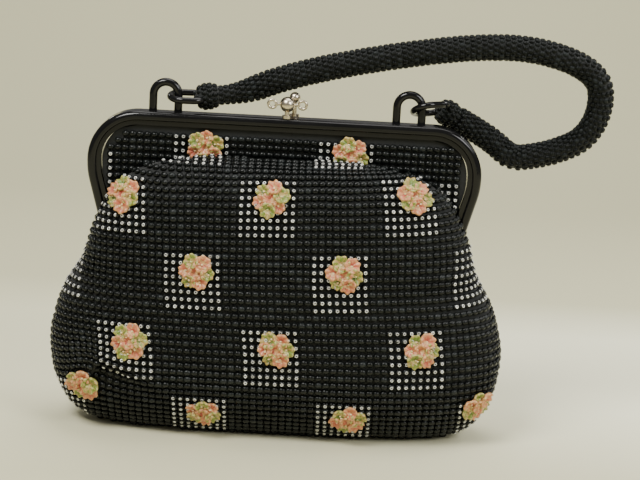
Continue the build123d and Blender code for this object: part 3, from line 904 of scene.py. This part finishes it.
def rope_end(name, start, away, finish):
    """A bound end of the rope: a rounded barrel, and the bead places on it."""
    side = np.cross(away, (0, 1.0, 0))
    side /= np.linalg.norm(side)
    over = np.cross(away, side)
    outline = ((0.0, 0.72), (0.2, 0.90), (0.45, 1.02), (0.7, 0.98), (0.88, 0.78), (0.97, 0.45), (1.0, 0.02))
    bead_rings = ((0.0026, 0.88, -0.3, 12), (0.0052, 1.02, 0.0, 14), (0.0078, 1.0, 0.1, 14),
                  (0.0102, 0.84, 0.5, 11), (0.0120, 0.42, 1.4, 6))
    around = 24

    def outward(turn):
        return side * math.cos(turn) + over * math.sin(turn)

    points, places = [], []
    for share, reach in outline:
        for i in range(around):
            out = outward(2 * math.pi * i / around)
            points.append(start + away * share * ROPE_END_LENGTH + out * reach * ROPE_CORE)
    faces = ring_faces(len(outline), around)
    faces.append(tuple(range(len(points) - around, len(points))))
    faces.append(tuple(range(around)))
    for ring, (run, reach, lean, count) in enumerate(bead_rings):
        for i in range(count):
            out = outward(2 * math.pi * (i + 0.5 * ((ring + 1) % 2)) / count)
            facing = out + away * lean
            facing = facing / np.linalg.norm(facing)
            along = away - facing * np.dot(away, facing)
            places.append((start + away * run + out * reach * ROPE_CORE, facing, along))
    mesh = mesh_of(name, points, faces, finish)
    made = bmesh.new()
    made.from_mesh(mesh)
    bmesh.ops.recalc_face_normals(made, faces=made.faces)
    made.to_mesh(mesh)
    made.free()
    return add_object(name, mesh), places


def stage():
    """A pale floor that bends up into a low, plain backdrop."""
    near, bend_from, bend_radius, half_width = -2.2, 0.55, 0.5, 3.5
    profile = [(near, 0), (bend_from, 0)]
    for i in range(1, 8):
        turn = math.pi / 2 * i / 12
        profile.append((bend_from + bend_radius * math.sin(turn), bend_radius - bend_radius * math.cos(turn)))
    points = [(x, y, z) for y, z in profile for x in (-half_width, half_width)]
    floor = add_mesh("floor", points, grid_faces(len(profile), 2), floor_finish())


def lamp(name, place, aim, size, power, colour):
    data = bpy.data.lights.new(name, "AREA")
    data.shape = "RECTANGLE"
    data.size, data.size_y = size
    data.energy = power
    data.color = colour
    light = add_object(name, data)
    light.location = place
    light.rotation_euler = (Vector(aim) - Vector(place)).to_track_quat("-Z", "Y").to_euler()


def camera():
    """The photograph's view: from the front and a little above, rolled a few degrees."""
    elevation, roll, distance = math.radians(13.0), math.radians(3.1), 0.9
    target = Vector((0.0188, 0, 0.0952))
    focal_pixels, picture_pixels = 1866.0, 640
    forward = Vector((0, math.cos(elevation), -math.sin(elevation)))
    right = Vector((1, 0, 0))
    up = right.cross(forward)
    across = right * math.cos(roll) + up * math.sin(roll)
    upward = up * math.cos(roll) - right * math.sin(roll)
    data = bpy.data.cameras.new("camera")
    data.sensor_width = 36.0
    data.lens = focal_pixels / picture_pixels * data.sensor_width
    eye = add_object("camera", data)
    turn = Matrix((across, upward, -forward)).transposed()
    eye.matrix_world = Matrix.Translation(target - forward * distance) @ turn.to_4x4()
    bpy.context.scene.camera = eye


def refinish(finish, *nodes):
    """Give CAD nodes a better material."""
    for node in nodes:
        node_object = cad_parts[node]
        node_object.data.materials.clear()
        node_object.data.materials.append(finish)


camera()
stage()
lamp("key_softbox", (-0.45, -0.60, 1.05), (0, 0, 0.09), (0.5, 0.4), 15, WARM_WHITE)
lamp("fill_softbox", (0.80, -0.70, 0.75), (0.15, 0.05, 0.04), (0.5, 0.5), 9, PALE_WHITE)
lamp("glint_lamp", (-0.48, 0.50, 0.52), (-0.06, 0, 0.14), (0.05, 0.05), 0.3, PALE_WHITE)
lamp("floor_softbox", (0.55, 0.10, 0.45), (0.30, 0.10, 0), (0.3, 0.3), 1.2, PALE_WHITE)
lamp("edge_lamp", (0.52, 0.50, 0.55), (0.07, 0, 0.14), (0.05, 0.05), 0.3, PALE_WHITE)
lamp("top_softbox", (0.1, 0.25, 1.2), (0, 0.2, 0.1), (1.1, 0.7), 10, WARM_WHITE)
world = bpy.data.worlds.new("room")
world.use_nodes = True
background = world.node_tree.nodes["Background"]
background.inputs["Color"].default_value = (0.95, 0.92, 0.88, 1)
background.inputs["Strength"].default_value = 0.24
bpy.context.scene.world = world

BLACK_BEAD = black_bead_finish("black_glass_bead", 0.24)
ROPE_BEAD = black_bead_finish("black_rope_bead", 0.10)
CRYSTAL, FLORET, PIP = crystal_finish(), floret_finish(), pip_finish()
GROUND_CLOTH, LACQUER, CLASP = ground_cloth_finish(), lacquer_finish(), clasp_finish()
LINING, PIN = lining_finish(), pin_finish()
SEWING, SEWING_IDS = sewing_tree()
BEAD, RING, CUP = bead_shape(), ring_shape(), floret_shape()
form = ClothForm()

# Rope handle: its core, its bound ends and the beads on them
rope = rope_curve()
line, ahead, outs = rope_line(rope)
left_end, left_places = rope_end("handle_end_bound_left", line[0], -ahead[0], GROUND_CLOTH)
right_end, right_places = rope_end("handle_end_bound_right", line[-1], ahead[-1], GROUND_CLOTH)
rope.data.bevel_depth = ROPE_CORE
rope.data.bevel_resolution = 4
rope.data.use_fill_caps = True
rope.data.materials.append(GROUND_CLOTH)
rope_beads = sew("handle_beads", rope_places(line, ahead, outs), BEAD, ROPE_BEAD,
                 wobble=0.15, seed=21, scale=ROPE_BEAD_SIZE)
end_beads = sew("handle_end_beads", left_places + right_places, BEAD, ROPE_BEAD,
                wobble=0.3, seed=22, scale=ROPE_BEAD_SIZE)
for piece in (rope, left_end, right_end, rope_beads, end_beads):
    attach(piece, "handle")
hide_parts("handle_rope")
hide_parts("handle_end_left")
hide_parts("handle_end_right")

# Cloth, beads, crystals and rosettes of each half; the last places are those of the flat cloth's rosettes
upper, upper_pips = (count * len(SHEET_ROSETTE_CELLS) for count in (FLORETS_EACH, PIPS_EACH))
halves = {}
for half, side in (("front", -1), ("rear", 1)):
    cloth = cloth_half("cloth_" + half, form, side, GROUND_CLOTH)
    beads, crystals = cloth_places(form, side)
    bead_piece = sew("beads_" + half, lifted(beads + crystals, BEAD_LIFT), BEAD, BLACK_BEAD,
                     wobble=0.16, seed=1 + side)
    crystal_piece = sew("crystals_" + half, lifted(crystals, CRYSTAL_LIFT), RING, CRYSTAL,
                        wobble=0.18, seed=5 + side)
    florets, sizes, tints, pips = rosette_places(form, side)
    rosettes = sew("rosettes_" + half, florets[:-upper], CUP, FLORET, wobble=0.10, seed=9 + side,
                   sizes=sizes[:-upper], tints=tints[:-upper])
    pip_sizes = [PIP_SIZE] * len(pips)
    rosette_pips = sew("rosette_pips_" + half, pips[:-upper_pips], BEAD, PIP, wobble=0.2, seed=41 + side,
                       sizes=pip_sizes[:-upper_pips])
    flat_pips = sew("sheet_pips_" + half, pips[-upper_pips:], BEAD, PIP, wobble=0.2, seed=43 + side,
                    sizes=pip_sizes[-upper_pips:])
    flat = cloth_sheet("sheet_" + half, side, 0, GROUND_CLOTH)
    beads, crystals = sheet_places(form, side)
    flat_beads = sew("sheet_beads_" + half, lifted(beads + crystals, SHEET_BEAD_LIFT), BEAD, BLACK_BEAD,
                     wobble=0.12, seed=13 + side)
    flat_crystals = sew("sheet_crystals_" + half, lifted(crystals, SHEET_CRYSTAL_LIFT), RING, CRYSTAL,
                        wobble=0.15, seed=15 + side)
    flat_rosettes = sew("sheet_rosettes_" + half, florets[-upper:], CUP, FLORET, wobble=0.10, seed=17 + side,
                        sizes=sizes[-upper:], tints=tints[-upper:])
    for piece in (cloth, bead_piece, crystal_piece, rosettes, rosette_pips):
        if side < 0:
            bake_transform(piece)
        else:
            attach(piece, "bag")
    for piece in (flat, flat_beads, flat_crystals, flat_rosettes, flat_pips):
        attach(piece, "front" if side < 0 else "bag")
    halves[half] = (cloth, flat, rosettes, flat_rosettes)
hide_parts("front_panel")
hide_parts("pouch", "rear_panel")
for half in halves:
    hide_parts("rosettes_pouch_" + half)
    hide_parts("rosettes_upper_" + half)

# Underside
base = cloth_base(form, GROUND_CLOTH)
base_beads = sew("beads_base", lifted(base_places(form), BEAD_LIFT), BEAD, BLACK_BEAD, wobble=0.12, seed=31)
for piece in (base, base_beads):
    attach(piece, "bag")

# The front lining bends with the front cloth
puff_lining = front_lining(form, LINING)
flat_lining = cloth_sheet("lining_front_flat", -1, FLAT_LINING_BEHIND, LINING, True)
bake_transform(puff_lining)
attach(flat_lining, "front")
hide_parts("front_lining")

# The shapes that were sewn on aren't pieces themselves
for shape in (BEAD, RING, CUP):
    bpy.data.objects.remove(shape)

# CAD pieces that stay, in finer finishes
refinish(LACQUER, "front_frame", "rear_frame", "loop_left", "loop_right", "link_left", "link_right")
refinish(CLASP, "clasp_front", "clasp_rear")
refinish(PIN, "hinge_pin_left", "hinge_pin_right")
refinish(LINING, "lining", "rear_lining")
